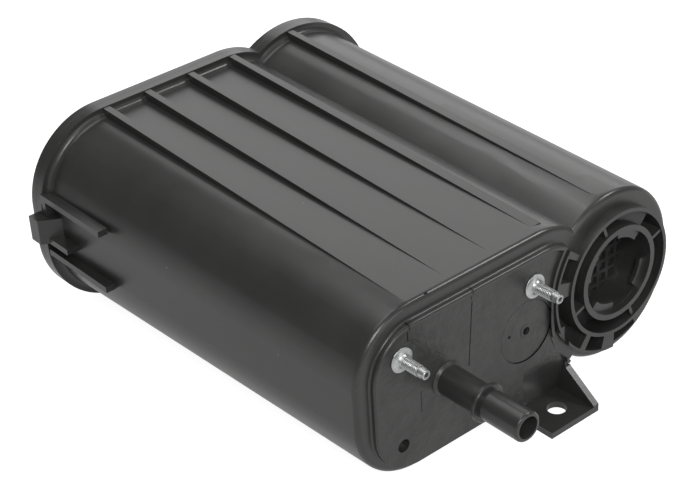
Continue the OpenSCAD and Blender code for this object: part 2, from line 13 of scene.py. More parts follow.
import bpy
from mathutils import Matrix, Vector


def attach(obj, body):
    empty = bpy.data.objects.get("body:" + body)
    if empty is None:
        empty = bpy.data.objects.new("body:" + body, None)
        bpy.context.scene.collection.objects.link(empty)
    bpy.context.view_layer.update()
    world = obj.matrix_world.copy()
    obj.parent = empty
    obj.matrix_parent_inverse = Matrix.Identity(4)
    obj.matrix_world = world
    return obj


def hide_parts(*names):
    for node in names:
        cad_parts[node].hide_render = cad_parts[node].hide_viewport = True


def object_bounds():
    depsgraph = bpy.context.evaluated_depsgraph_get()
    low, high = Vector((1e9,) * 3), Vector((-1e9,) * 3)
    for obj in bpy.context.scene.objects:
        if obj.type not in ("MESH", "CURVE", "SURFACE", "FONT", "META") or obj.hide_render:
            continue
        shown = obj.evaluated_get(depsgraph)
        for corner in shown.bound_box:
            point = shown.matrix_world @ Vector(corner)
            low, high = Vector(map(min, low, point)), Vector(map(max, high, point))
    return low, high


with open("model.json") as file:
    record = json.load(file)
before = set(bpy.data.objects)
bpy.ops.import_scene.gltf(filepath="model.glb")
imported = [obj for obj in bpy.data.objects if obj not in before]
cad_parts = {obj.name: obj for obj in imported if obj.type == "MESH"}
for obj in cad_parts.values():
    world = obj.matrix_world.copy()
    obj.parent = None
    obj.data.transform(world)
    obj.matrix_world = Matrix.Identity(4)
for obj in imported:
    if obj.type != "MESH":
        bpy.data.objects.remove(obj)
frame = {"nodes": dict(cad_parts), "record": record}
cad_box = [list(corner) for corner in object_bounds()]
nodes = frame["nodes"]
MM = 0.001


def rounded(box):
    """Rounds the corners of a box to a tenth of a millimetre, for printing."""
    return [[round(v, 4) for v in corner] for corner in box]


print("CAD nodes:", len(nodes), "box:", rounded(cad_box))

# %% [markdown]
# The camera
#
# The picture was taken from above the left front corner with a long lens. The camera could be turned by eye
# until it looks right, but its place was worked out from points of the object that are known in the picture
# and in the CAD model, so it is simply written down here. The lens is given for a sensor 36 mm wide.

# %% Camera
SENSOR_MM = 36
LENS_MM = 97.46
CAMERA_PLACE = (-0.49906, -0.53397, 0.50144)
CAMERA_TURN = (58.0731, 3.2895, -40.4287)
NEAREST_SEEN = 0.02
scene = bpy.context.scene
lens_data = bpy.data.cameras.new("bench_camera")
lens_data.sensor_fit = "HORIZONTAL"
lens_data.sensor_width = SENSOR_MM
lens_data.lens = LENS_MM
lens_data.clip_start = NEAREST_SEEN
bench_camera = bpy.data.objects.new("bench_camera", lens_data)
scene.collection.objects.link(bench_camera)
bench_camera.location = CAMERA_PLACE
bench_camera.rotation_euler = [math.radians(angle) for angle in CAMERA_TURN]
scene.camera = bench_camera
print("camera at", CAMERA_PLACE, "lens", LENS_MM)

# %% [markdown]
# The bench, the light and the view
#
# A black moulding shows its form only by what it reflects. Small lamps would leave hard white spots on it,
# so soft boxes are used. One hangs overhead, and a large one behind at the right lays a sheen on the top. A
# narrow one has a honeycomb grid, which is a small spread in Blender, and brightens only the crown of the
# side chamber. One at the right draws light lines along the edges, one faces the panel, and one beside the
# camera looks into the hollows. The room is even and pale.
#
# The bench is a pale plane at the height of the foot plate. A glow is added to it for the camera, and about
# half as much in reflections, so that it reads as white and still keeps a soft shadow.

# %% Helpers for making things by hand
WHITE = (1, 1, 1, 1)


def start_clean():
    """Leaves edit mode and deselects everything, as before each new piece."""
    if bpy.context.object and bpy.context.object.mode != "OBJECT":
        bpy.ops.object.mode_set(mode="OBJECT")
    bpy.ops.object.select_all(action="DESELECT")


def add_node(tree, kind, x, y, **settings):
    """Adds a shader node at a place in the editor and sets its properties."""
    node = tree.nodes.new(kind)
    node.location = (x, y)
    for key, value in settings.items():
        setattr(node, key, value)
    return node


def math_step(tree, operation, x, y, *values):
    """Adds a Math node, links or sets its inputs in order and returns its result."""
    node = add_node(tree, "ShaderNodeMath", x, y, operation=operation)
    for socket, value in zip(node.inputs, values):
        if isinstance(value, (int, float)):
            socket.default_value = value
        else:
            tree.links.new(value, socket)
    return node.outputs[0]


# %% Bench
BENCH_SIZE = 24
BENCH_GAP = 0.2 * MM
bench_z = cad_box[0][2]
start_clean()
bpy.ops.mesh.primitive_plane_add(size=BENCH_SIZE, location=(0, 0, bench_z - BENCH_GAP))
bench = bpy.context.object
bench.name = "bench"
print("bench at", round(bench_z, 4))

# %% Paper on the bench
PAPER_GREY = (0.4, 0.4, 0.4, 1)
SEEN_GLOW = 0.92
MIRRORED_GLOW = 0.5
paper = bpy.data.materials.new("bench_paper")
paper.use_nodes = True
tree = paper.node_tree
tree.nodes.clear()
out = add_node(tree, "ShaderNodeOutputMaterial", 700, 0)
both = add_node(tree, "ShaderNodeAddShader", 500, 0)
dull = add_node(tree, "ShaderNodeBsdfDiffuse", 250, 120)
dull.inputs["Color"].default_value = PAPER_GREY
glow = add_node(tree, "ShaderNodeEmission", 250, -60)
glow.inputs["Color"].default_value = WHITE
rays = add_node(tree, "ShaderNodeLightPath", -350, -60)
mirrored = math_step(tree, "MAXIMUM", -150, -160,
                     rays.outputs["Is Glossy Ray"], rays.outputs["Is Transmission Ray"])
dimmed = math_step(tree, "MULTIPLY", 0, -160, mirrored, MIRRORED_GLOW)
level = math_step(tree, "MULTIPLY_ADD", 120, -60, rays.outputs["Is Camera Ray"], SEEN_GLOW, dimmed)
tree.links.new(level, glow.inputs["Strength"])
tree.links.new(dull.outputs[0], both.inputs[0])
tree.links.new(glow.outputs[0], both.inputs[1])
tree.links.new(both.outputs[0], out.inputs["Surface"])
bench.data.materials.append(paper)
print("paper on", bench.name)


# %% Soft boxes and room
def soft_box(name, place, aim, size, power, beam=180):
    """Adds a rectangular lamp that points from place to aim. A beam of a few degrees acts as a grid."""
    lamp = bpy.data.lights.new(name, "AREA")
    lamp.shape = "RECTANGLE"
    lamp.size, lamp.size_y = size
    lamp.energy = power
    lamp.spread = math.radians(beam)
    holder = bpy.data.objects.new(name, lamp)
    scene.collection.objects.link(holder)
    holder.location = place
    x, y, z = [end - start for end, start in zip(aim, place)]
    tilt = math.atan2(math.hypot(x, y), -z)
    holder.rotation_euler = (tilt, 0, math.atan2(y, x) - math.pi / 2)


MIDDLE = (0.03, 0.13, -0.02)
SIDE_CROWN = (0.17, 0.04, 0.03)
ROOM_LEVEL = 0.2
soft_box("overhead_box", place=(-0.1, 0.5, 1.35), aim=MIDDLE, size=(1.0, 0.8), power=6)
soft_box("rear_box", place=(1.06, 1.04, 0.68), aim=MIDDLE, size=(1.4, 1.1), power=7.6)
soft_box("crown_box", place=(0.4, 0.84, 1.06), aim=SIDE_CROWN, size=(0.2, 0.8), power=0.045, beam=11)
soft_box("right_box", place=(0.95, -0.45, 1.15), aim=MIDDLE, size=(0.35, 0.3), power=8)
soft_box("front_panel_box", place=(0.3, -1.5, 0.4), aim=MIDDLE, size=(0.7, 0.5), power=4)
soft_box("fill_box", place=(-0.5, -0.75, 0.75), aim=MIDDLE, size=(0.4, 0.4), power=8)
room = bpy.data.worlds.new("pale_room")
room.use_nodes = True
backdrop = room.node_tree.nodes["Background"]
backdrop.inputs["Color"].default_value = WHITE
backdrop.inputs["Strength"].default_value = ROOM_LEVEL
scene.world = room
scene.view_settings.view_transform = "Standard"

# %% [markdown]
# The moulding and the cover
#
# A moulding has no knife edges: each corner is rounded by a few tenths of a millimetre. The CAD mesh is
# made of loose triangles with sharp edges. It could be remeshed as a whole, but that would blur its small
# ribs and pockets. So a copy is merged, its flat fields are joined to single faces, and a bevel is run
# along every sharp edge. The bevel's overlap clamp holds a whole mesh to the width that its tightest corner
# has room for. The cover's edges come out about 0.3 mm wide, and those of the moulding, with its very small
# corners, are only hair-thin. Normals weighted by face area then keep the wide fields flat, so that only
# the bevels bend the light. The form stays the CAD form.

# %% Copy a CAD piece and soften its edges
EDGE_WIDTH = 0.35 * MM
MERGE_GAP = 0.002 * MM
FLAT_WITHIN = math.radians(0.4)
EDGE_FROM = math.radians(38)
SMOOTH_UP_TO = math.radians(32)


def softened(node, name):
    """Copies a CAD node, merges its triangles and rounds its sharp edges."""
    start_clean()
    piece = bpy.data.objects.new(name, nodes[node].data.copy())
    piece.data.name = name
    scene.collection.objects.link(piece)
    piece.select_set(True)
    bpy.context.view_layer.objects.active = piece
    bpy.ops.mesh.customdata_custom_splitnormals_clear()
    bpy.ops.object.mode_set(mode="EDIT")
    bpy.ops.mesh.select_all(action="SELECT")
    bpy.ops.mesh.remove_doubles(threshold=MERGE_GAP)
    bpy.ops.mesh.dissolve_limited(angle_limit=FLAT_WITHIN, use_dissolve_boundaries=False)
    bpy.ops.object.mode_set(mode="OBJECT")
    faces_before = len(piece.data.polygons)
    bevel = piece.modifiers.new("edge", "BEVEL")
    bevel.width = EDGE_WIDTH
    bevel.segments = 2
    bevel.limit_method = "ANGLE"
    bevel.angle_limit = EDGE_FROM
    bevel.use_clamp_overlap = True
    bevel.miter_outer = "MITER_ARC"
    bpy.ops.object.modifier_apply(modifier="edge")
    bpy.ops.object.shade_smooth_by_angle(angle=SMOOTH_UP_TO)
    even = piece.modifiers.new("even", "WEIGHTED_NORMAL")
    even.keep_sharp = True
    bpy.ops.object.modifier_apply(modifier="even")
    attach(piece, "root")
    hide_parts(node)
    print(name, "faces", faces_before, "to", len(piece.data.polygons))
    return piece


moulding = softened("housing", "canister_moulding")
cover = softened("rear_cover", "welded_cover")

# %% [markdown]
# The two fixing studs
#
# Each stud is a plated M6 stud with a flange that sits on the panel. A thread could be faked with stripes,
# but it catches the light on its flanks, so it is modelled: a tooth is drawn with a few points and the Screw
# modifier winds it round the axis. The points come from a small square, of which three sides stay. Five of
# them form the tooth, with a fold at its crest, and the others wind along inside the stud, where they can't
# be seen. A tooth of one edge alone would be cleaner. Flange and point start as cylinders. The flange is
# inset in steps and bevelled, and the point is extruded and hollowed. The stud is made once, standing
# upright, and the second one is a copy.

# %% Draw one tooth of the thread
PITCH = 1.0 * MM
THREAD_R = 2.98 * MM
ROOT_R = 2.42 * MM
THREAD_FROM = -0.4 * MM
TOOTH = [(0.0, ROOT_R), (0.33, THREAD_R), (0.5, THREAD_R), (0.83, ROOT_R), (1.0, ROOT_R)]
start_clean()
bpy.ops.mesh.primitive_plane_add(size=PITCH, location=(0, 0, 0))
thread = bpy.context.object
thread.name = "stud_thread"
bpy.ops.object.mode_set(mode="EDIT")
bpy.ops.mesh.delete(type="ONLY_FACE")
bpy.ops.mesh.select_all(action="DESELECT")
bpy.ops.object.mode_set(mode="OBJECT")
for edge in thread.data.edges:
    edge.select = all(thread.data.vertices[i].co.x < 0 for i in edge.vertices)
bpy.ops.object.mode_set(mode="EDIT")
bpy.ops.mesh.select_all(action="INVERT")
bpy.ops.mesh.delete(type="EDGE")
bpy.ops.mesh.select_all(action="SELECT")
bpy.ops.mesh.subdivide(number_cuts=len(TOOTH) - 2)
bpy.ops.object.mode_set(mode="OBJECT")
tooth_points = sorted(thread.data.vertices, key=lambda v: v.co.y)
for vertex, (along, radius) in zip(tooth_points, TOOTH):
    vertex.co = (radius, 0, THREAD_FROM + along * PITCH)
print("tooth points", len(tooth_points))

# %% Wind the tooth round the axis
TURNS = 12
TURN_STEPS = 24
WIND_MERGE = 0.001 * MM
THREAD_TO = THREAD_FROM + (TURNS + 1) * PITCH
screw = thread.modifiers.new("wind", "SCREW")
screw.axis = "Z"
screw.screw_offset = PITCH
screw.iterations = TURNS
screw.steps = TURN_STEPS
screw.render_steps = TURN_STEPS
screw.use_merge_vertices = True
screw.merge_threshold = WIND_MERGE
bpy.context.view_layer.objects.active = thread
bpy.ops.object.modifier_apply(modifier="wind")
bpy.ops.object.mode_set(mode="EDIT")
bpy.ops.mesh.select_all(action="SELECT")
bpy.ops.mesh.remove_doubles(threshold=MERGE_GAP)
bpy.ops.mesh.select_all(action="DESELECT")
bpy.ops.mesh.select_non_manifold()
bpy.ops.mesh.edge_face_add()
bpy.ops.mesh.select_all(action="SELECT")
bpy.ops.mesh.normals_make_consistent(inside=False)
bpy.ops.object.mode_set(mode="OBJECT")
print("thread faces", len(thread.data.polygons), "top", round(max(v.co.z for v in thread.data.vertices), 5))

# %% Helpers for turned pieces
LOOKS_UP = 0.9


def settle(piece):
    """Writes an object's place into its mesh, so that it sits at the origin, unturned and unscaled."""
    start_clean()
    piece.select_set(True)
    bpy.context.view_layer.objects.active = piece
    bpy.ops.object.transform_apply(location=True, rotation=True, scale=True)


def upright_disc(name, sides, radius, thickness, middle):
    """Adds a cylinder on the upright axis, with its place written into its mesh."""
    start_clean()
    bpy.ops.mesh.primitive_cylinder_add(
        vertices=sides, radius=radius, depth=thickness, location=(0, 0, middle))
    piece = bpy.context.object
    piece.name = name
    settle(piece)
    return piece


def pick_top(piece):
    """Selects the faces of a mesh that look up, and enters edit mode."""
    bpy.ops.object.mode_set(mode="OBJECT")
    for part in (piece.data.vertices, piece.data.edges, piece.data.polygons):
        part.foreach_set("select", [False] * len(part))
    for face in piece.data.polygons:
        face.select = face.normal.z > LOOKS_UP
    bpy.ops.object.mode_set(mode="EDIT")
    bpy.ops.mesh.select_mode(type="FACE")


def inset_in_steps(steps):
    """Insets the selected faces step by step: how far inwards, and how far up or down."""
    for inwards, upwards in steps:
        bpy.ops.mesh.inset(thickness=inwards, depth=upwards)


# %% Flange
FLANGE_R = 6.6 * MM
FLANGE_THICK = 0.9 * MM
FLANGE_MIDDLE = -1.35 * MM
FLANGE_STEPS = [(0.5 * MM, 0), (2.0 * MM, 0.7 * MM), (0.6 * MM, 0.5 * MM), (0.4 * MM, 1.1 * MM)]
RIM_WIDTH = 0.25 * MM
RIM_FROM = math.radians(40)
flange = upright_disc("stud_flange", sides=48, radius=FLANGE_R, thickness=FLANGE_THICK, middle=FLANGE_MIDDLE)
pick_top(flange)
inset_in_steps(FLANGE_STEPS)
bpy.ops.object.mode_set(mode="OBJECT")
rim = flange.modifiers.new("rim", "BEVEL")
rim.width = RIM_WIDTH
rim.segments = 3
rim.limit_method = "ANGLE"
rim.angle_limit = RIM_FROM
bpy.ops.object.modifier_apply(modifier="rim")
print("flange faces", len(flange.data.polygons))

# %% Point
POINT_R = 2.9 * MM
POINT_THICK = 1.4 * MM
POINT_MIDDLE = 12.4 * MM
POINT_STEPS = [(0.9 * MM, 0.86), (1.6 * MM, 0.97), (0.3 * MM, 0.86)]
POINT_HOLLOW = [(0.6 * MM, 0), (0.2 * MM, -0.6 * MM)]
point = upright_disc("stud_point", sides=36, radius=POINT_R, thickness=POINT_THICK, middle=POINT_MIDDLE)
pick_top(point)
for rise, shrink in POINT_STEPS:
    bpy.ops.mesh.extrude_region_move(TRANSFORM_OT_translate={"value": (0, 0, rise)})
    bpy.ops.transform.resize(value=(shrink, shrink, 1), center_override=(0, 0, 0))
inset_in_steps(POINT_HOLLOW)
bpy.ops.object.mode_set(mode="OBJECT")
print("point top", round(max(v.co.z for v in point.data.vertices), 5))


# %% Join the stud and set both in place
def face_front(place, first, *others):
    """Joins upright pieces into the first one, turns it to the front and sets it in its place."""
    start_clean()
    for part in (first, *others):
        part.select_set(True)
    bpy.context.view_layer.objects.active = first
    bpy.ops.object.join()
    first.rotation_euler = (math.radians(90), 0, 0)
    first.location = place
    settle(first)
    return first


STUD_SMOOTH = math.radians(35)
stud_mount = next(m for m in frame["record"]["mounts"] if m["name"] == "mounting_studs")
stud_gap = stud_mount["dims"]["spacing_x_mm"] * MM
studs = face_front((-stud_gap / 2, 0, 0), thread, flange, point)
studs.name = "fixing_studs"
bpy.ops.object.mode_set(mode="EDIT")
bpy.ops.mesh.select_all(action="SELECT")
bpy.ops.mesh.duplicate_move(TRANSFORM_OT_translate={"value": (stud_gap, 0, 0)})
bpy.ops.object.mode_set(mode="OBJECT")
bpy.ops.object.shade_smooth_by_angle(angle=STUD_SMOOTH)
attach(studs, "root")
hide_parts("mounting_studs")
print("studs faces", len(studs.data.polygons), "lowest y", round(min(v.co.y for v in studs.data.vertices), 5))

# %% [markdown]
# The gate mark
#
# The plastic flows into the mould at the middle of the round disc on the panel. When the moulding is broken
# off its runner, a small torn stub and a faint ring are left. They could be drawn into the bump, but the
# stub stands up from the disc, so both are modelled. The ring is a flat cylinder that is inset and sunk,
# and the stub is a star that is pulled up in the middle.

# %% Ring and stub in the gate disc
PANEL_Y = 1.8 * MM
DISC_DEPTH = 0.5 * MM
GATE_X, GATE_Z = 38.6 * MM, -24.5 * MM
GATE_R = 3.9 * MM
GATE_THICK = 0.3 * MM
GATE_STEPS = [(0.5 * MM, 0.12 * MM), (0.4 * MM, 0), (0.5 * MM, -0.14 * MM)]
STUB_R = 2.3 * MM
STUB_LIFT = 0.05 * MM
STUB_WAIST = 0.42
STUB_STEPS = [(0.2 * MM, 0.1 * MM)]
GATE_SMOOTH = math.radians(40)
gate_ring = upright_disc("gate_mark", sides=40, radius=GATE_R, thickness=GATE_THICK, middle=0)
pick_top(gate_ring)
inset_in_steps(GATE_STEPS)
stub = upright_disc("gate_stub", sides=8, radius=STUB_R, thickness=GATE_THICK, middle=STUB_LIFT)
for i, vertex in enumerate(sorted(stub.data.vertices, key=lambda v: math.atan2(v.co.y, v.co.x))):
    if (i // 2) % 2:
        vertex.co.x *= STUB_WAIST
        vertex.co.y *= STUB_WAIST
pick_top(stub)
inset_in_steps(STUB_STEPS)
gate_mark = face_front((GATE_X, PANEL_Y + DISC_DEPTH, GATE_Z), gate_ring, stub)
bpy.ops.object.shade_smooth_by_angle(angle=GATE_SMOOTH)
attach(gate_mark, "root")
print("gate mark faces", len(gate_mark.data.polygons))

# %% [markdown]
# Effects as node groups
#
# Moulded nylon, plated steel and pressed fleece differ in colour, but all of them need a fine grain and a
# broad uneven tone. Both could be built again in each finish, but as one node group they are built once and
# get their own values each time. Three more groups are for the nylon: pale specks, straight lines left by the
# mould, and round lines and dots, two of which are painted shade. All groups read Object coordinates, so a
# pattern stays on its piece from every side.


# %% Group for grain and tone
def new_group(name, labels, results):
    """Makes a shader node group with a Vector, named values and results, and returns it with its ends."""
    group = bpy.data.node_groups.new(name, "ShaderNodeTree")
    group.interface.new_socket("Vector", in_out="INPUT", socket_type="NodeSocketVector")
    for label in labels:
        group.interface.new_socket(label, in_out="INPUT", socket_type="NodeSocketFloat")
    for label in results:
        group.interface.new_socket(label, in_out="OUTPUT", socket_type="NodeSocketFloat")
    start = add_node(group, "NodeGroupInput", -800, 0)
    return group, start.outputs, add_node(group, "NodeGroupOutput", 800, 0).inputs


def add_noise(tree, x, y, vector, **values):
    """Adds a noise texture on the given coordinates. Values are numbers or sockets."""
    node = add_node(tree, "ShaderNodeTexNoise", x, y)
    tree.links.new(vector, node.inputs["Vector"])
    for label, value in values.items():
        if isinstance(value, (int, float)):
            node.inputs[label].default_value = value
        else:
            tree.links.new(value, node.inputs[label])
    return node.outputs["Fac"]


surface_grain, given, result = new_group("surface_grain", ("Grain Scale", "Tone Scale"), ("Grain", "Tone"))
fine = add_noise(surface_grain, -300, 150, given["Vector"],
                 Scale=given["Grain Scale"], Detail=3, Roughness=0.6)
broad = add_noise(surface_grain, -300, -150, given["Vector"],
                  Scale=given["Tone Scale"], Detail=4, Roughness=0.55)
surface_grain.links.new(fine, result["Grain"])
surface_grain.links.new(broad, result["Tone"])
print("group", surface_grain.name)

# %% Group for pale specks
RAGGED_ABOVE = 0.45
PATCHES_ABOVE = 0.52
rub_marks, given, result = new_group("rub_marks", ("Scale", "Size"), ("Mask",))
cells = add_node(rub_marks, "ShaderNodeTexVoronoi", -450, 100)
rub_marks.links.new(given["Vector"], cells.inputs["Vector"])
rub_marks.links.new(given["Scale"], cells.inputs["Scale"])
ragged = add_noise(rub_marks, -450, -180, given["Vector"], Scale=900, Detail=2)
patches = add_noise(rub_marks, -450, -420, given["Vector"], Scale=14)
spot = math_step(rub_marks, "LESS_THAN", -150, 100, cells.outputs["Distance"], given["Size"])
broken = math_step(rub_marks, "GREATER_THAN", -150, -100, ragged, RAGGED_ABOVE)
where = math_step(rub_marks, "GREATER_THAN", -150, -320, patches, PATCHES_ABOVE)
mask = math_step(rub_marks, "MULTIPLY", 150, 0, spot, broken)
mask = math_step(rub_marks, "MULTIPLY", 400, 0, mask, where)
rub_marks.links.new(mask, result["Mask"])
print("group", rub_marks.name)

# %% Group for a straight line left by a joint in the mould
parting_line, given, result = new_group(
    "parting_line", ("Place", "Lean", "Half Width", "Low", "High", "Depth"), ("Mask",))
axes = add_node(parting_line, "ShaderNodeSeparateXYZ", -600, 200)
parting_line.links.new(given["Vector"], axes.inputs[0])
x, y, z = axes.outputs
lean = math_step(parting_line, "MULTIPLY", -400, 0, z, given["Lean"])
line_x = math_step(parting_line, "ADD", -250, 0, lean, given["Place"])
away = math_step(parting_line, "SUBTRACT", -100, 100, x, line_x)
away = math_step(parting_line, "ABSOLUTE", 50, 100, away)
on_line = math_step(parting_line, "LESS_THAN", 200, 100, away, given["Half Width"])
above = math_step(parting_line, "GREATER_THAN", 50, -100, z, given["Low"])
below = math_step(parting_line, "LESS_THAN", 50, -250, z, given["High"])
front = math_step(parting_line, "LESS_THAN", 50, -400, y, given["Depth"])
mask = math_step(parting_line, "MULTIPLY", 350, 0, on_line, above)
mask = math_step(parting_line, "MULTIPLY", 480, 0, mask, below)
mask = math_step(parting_line, "MULTIPLY", 620, 0, mask, front)
parting_line.links.new(mask, result["Mask"])
print("group", parting_line.name)


# %% Group for a round line or a dot
def from_axis(tree, x, y, aside, over):
    """Works out how far a point is from an axis, from its two offsets."""
    aside = math_step(tree, "MULTIPLY", x, y, aside, aside)
    over = math_step(tree, "MULTIPLY", x, y - 150, over, over)
    both_squares = math_step(tree, "ADD", x + 150, y - 75, aside, over)
    return math_step(tree, "POWER", x + 300, y - 75, both_squares, 0.5)


ring_line, given, result = new_group(
    "ring_line", ("Middle X", "Middle Z", "Radius", "Half Width", "Depth"), ("Mask",))
axes = add_node(ring_line, "ShaderNodeSeparateXYZ", -600, 200)
ring_line.links.new(given["Vector"], axes.inputs[0])
x, y, z = axes.outputs
aside = math_step(ring_line, "SUBTRACT", -400, 100, x, given["Middle X"])
over = math_step(ring_line, "SUBTRACT", -400, -100, z, given["Middle Z"])
from_middle = from_axis(ring_line, -250, 75, aside, over)
away = math_step(ring_line, "SUBTRACT", 200, 0, from_middle, given["Radius"])
away = math_step(ring_line, "ABSOLUTE", 350, 0, away)
on_line = math_step(ring_line, "LESS_THAN", 480, 0, away, given["Half Width"])
front = math_step(ring_line, "LESS_THAN", 480, -200, y, given["Depth"])
mask = math_step(ring_line, "MULTIPLY", 620, 0, on_line, front)
ring_line.links.new(mask, result["Mask"])
print("group", ring_line.name)

# %% [markdown]
# Black nylon
#
# The moulding is satin black nylon. One dark grey with one gloss would look like painted card, so the
# finish is built up from effects. The tone drifts from field to field, and a few pale specks sit on it from
# handling. Thin dark lines show where parts of the mould met. The same dark is painted shade in two places:
# a ring along the edge of the sunk gate disc and a dot in a small pit. A line that is only black would still
# shine, so the same mask feeds Metallic, because a black metal reflects very little. The panel is slightly
# mottled where the melt cooled: the mottle is wide and faint and goes into the bump, with a finer grain on
# top.


# %% Helpers for a finish
def start_finish(name, roughness=0.5, metallic=0.0, specular=0.5):
    """Makes a material with Object coordinates and a Principled shader with its plain values set."""
    finish = bpy.data.materials.new(name)
    finish.use_nodes = True
    tree = finish.node_tree
    shader = tree.nodes["Principled BSDF"]
    shader.location = (600, 0)
    tree.nodes["Material Output"].location = (900, 0)
    shader.inputs["Roughness"].default_value = roughness
    shader.inputs["Metallic"].default_value = metallic
    shader.inputs["Specular IOR Level"].default_value = specular
    place = add_node(tree, "ShaderNodeTexCoord", -1000, 0)
    return finish, tree, shader, place.outputs["Object"]


def place_group(tree, group, x, y, vector, **values):
    """Places a node group, feeds it the coordinates, sets its own values and returns its results."""
    node = add_node(tree, "ShaderNodeGroup", x, y, node_tree=group)
    tree.links.new(vector, node.inputs["Vector"])
    for label, value in values.items():
        node.inputs[label.replace("_", " ")].default_value = value
    return node.outputs


def blend(tree, x, y, factor, first, second):
    """Mixes two colours by a factor socket and returns the colour."""
    node = add_node(tree, "ShaderNodeMix", x, y, data_type="RGBA")
    tree.links.new(factor, node.inputs["Factor"])
    for socket, value in ((node.inputs["A"], first), (node.inputs["B"], second)):
        if isinstance(value, tuple):
            socket.default_value = value + (1,)
        else:
            tree.links.new(value, socket)
    return node.outputs["Result"]


def spread(tree, x, y, value, low=0.0, high=1.0, from_low=0.3, from_high=0.7):
    """Maps a value, by default the usual range of a noise, to a new range and returns it."""
    node = add_node(tree, "ShaderNodeMapRange", x, y)
    tree.links.new(value, node.inputs["Value"])
    for label, number in (("From Min", from_low), ("From Max", from_high), ("To Min", low), ("To Max", high)):
        node.inputs[label].default_value = number
    return node.outputs["Result"]


def bumped(tree, shader, height, strength, distance):
    """Feeds a height to the shader's normal through a Bump node."""
    node = add_node(tree, "ShaderNodeBump", 350, -200)
    node.inputs["Strength"].default_value = strength
    node.inputs["Distance"].default_value = distance
    tree.links.new(height, node.inputs["Height"])
    tree.links.new(node.outputs["Normal"], shader.inputs["Normal"])


# %% Tone and specks of the nylon
NYLON_DARK = (0.0244, 0.0242, 0.0236)
NYLON_PALE = (0.0346, 0.0343, 0.0334)
SPECK_TONE = (0.16, 0.165, 0.17)
nylon, tree, shader, place = start_finish("black_nylon")
grain = place_group(tree, surface_grain, -700, 200, place, Grain_Scale=1600.0, Tone_Scale=26.0)
tone = spread(tree, -450, 200, grain["Tone"])
colour = blend(tree, -250, 200, tone, NYLON_DARK, NYLON_PALE)
specks = place_group(tree, rub_marks, -700, -50, place, Scale=70.0, Size=0.035)
colour = blend(tree, -50, 200, specks["Mask"], colour, SPECK_TONE)
print("tone and specks in", nylon.name)

# %% Lines from the mould and painted shade
# Dark for the lines from the mould, and painted shade at the edge of the sunk gate disc and in a small pit.
LINE_AND_SHADE_TONE = (0.006, 0.006, 0.006)
ON_PANEL = 2.1 * MM
ON_BORDER = 3.6 * MM
IN_DISC = 2.6 * MM
lines = [
    dict(Place=1.15 * MM, Lean=0.0836, Half_Width=0.3 * MM, Low=-25.5 * MM, High=11 * MM, Depth=ON_PANEL),
    dict(Place=-32.5 * MM, Lean=0.0, Half_Width=0.2 * MM, Low=-37 * MM, High=-24 * MM, Depth=ON_PANEL),
    dict(Place=1.6 * MM, Lean=0.0, Half_Width=0.28 * MM, Low=12 * MM, High=20 * MM, Depth=ON_BORDER),
    dict(Place=-39.3 * MM, Lean=0.0, Half_Width=0.28 * MM, Low=8 * MM, High=20 * MM, Depth=ON_BORDER),
]
# The ring is painted shade along the edge of the sunk gate disc, the first dot is painted shade in a small
# pit, and the last dot darkens the torn stub of the gate.
rings = [
    dict(Middle_X=38.4 * MM, Middle_Z=-24.6 * MM, Radius=17.4 * MM, Half_Width=0.15 * MM, Depth=IN_DISC),
    dict(Middle_X=27.0 * MM, Middle_Z=-22.8 * MM, Radius=0.0, Half_Width=0.95 * MM, Depth=IN_DISC),
    dict(Middle_X=GATE_X, Middle_Z=GATE_Z, Radius=0.0, Half_Width=2.2 * MM, Depth=PANEL_Y + DISC_DEPTH),
]
masks = [place_group(tree, parting_line, -700, -250 - 220 * i, place, **values)["Mask"]
         for i, values in enumerate(lines)]
masks += [place_group(tree, ring_line, -950, -250 - 220 * i, place, **values)["Mask"]
          for i, values in enumerate(rings)]
drawn = masks[0]
for i, extra in enumerate(masks[1:]):
    drawn = math_step(tree, "MAXIMUM", -450, -250 - 200 * i, drawn, extra)
colour = blend(tree, 150, 200, drawn, colour, LINE_AND_SHADE_TONE)
tree.links.new(colour, shader.inputs["Base Color"])
tree.links.new(drawn, shader.inputs["Metallic"])
print("lines", len(lines), "rings and dots", len(rings))

# %% Mottle on the panel, gloss and bump
PANEL_BAND = (1.5 * MM, 2.4 * MM)
MOTTLE_ON_PANEL = 7.0
MOTTLE_ELSEWHERE = 0.3
FINE_SHARE = 0.12
DULL_PATCHES = 0.2
GLOSS = (0.285, 0.335)
axes = add_node(tree, "ShaderNodeSeparateXYZ", -700, 750)
tree.links.new(place, axes.inputs[0])
before = math_step(tree, "LESS_THAN", -600, 800, axes.outputs["Y"], PANEL_BAND[1])
behind = math_step(tree, "GREATER_THAN", -600, 650, axes.outputs["Y"], PANEL_BAND[0])
on_panel = math_step(tree, "MULTIPLY", -480, 750, before, behind)
mottle = place_group(tree, surface_grain, -700, 500, place, Grain_Scale=170.0, Tone_Scale=90.0)["Grain"]
mottle_gain = math_step(tree, "MULTIPLY_ADD", -350, 750, on_panel, MOTTLE_ON_PANEL, MOTTLE_ELSEWHERE)
coarse_part = math_step(tree, "MULTIPLY", -200, 600, mottle, mottle_gain)
fine_part = math_step(tree, "MULTIPLY", -250, -200, grain["Grain"], FINE_SHARE)
height = math_step(tree, "ADD", -50, -200, fine_part, coarse_part)
bumped(tree, shader, height, strength=0.4, distance=0.22 * MM)
patchy = spread(tree, -50, 600, mottle, high=DULL_PATCHES)
patchy = math_step(tree, "MULTIPLY", 100, 600, patchy, on_panel)
even_gloss = spread(tree, 100, 400, grain["Tone"], *GLOSS)
tree.links.new(math_step(tree, "ADD", 250, 500, even_gloss, patchy), shader.inputs["Roughness"])
for piece in (moulding, cover, gate_mark):
    piece.data.materials.clear()
    piece.data.materials.append(nylon)
print("finish", nylon.name, "on", moulding.name, cover.name, gate_mark.name)
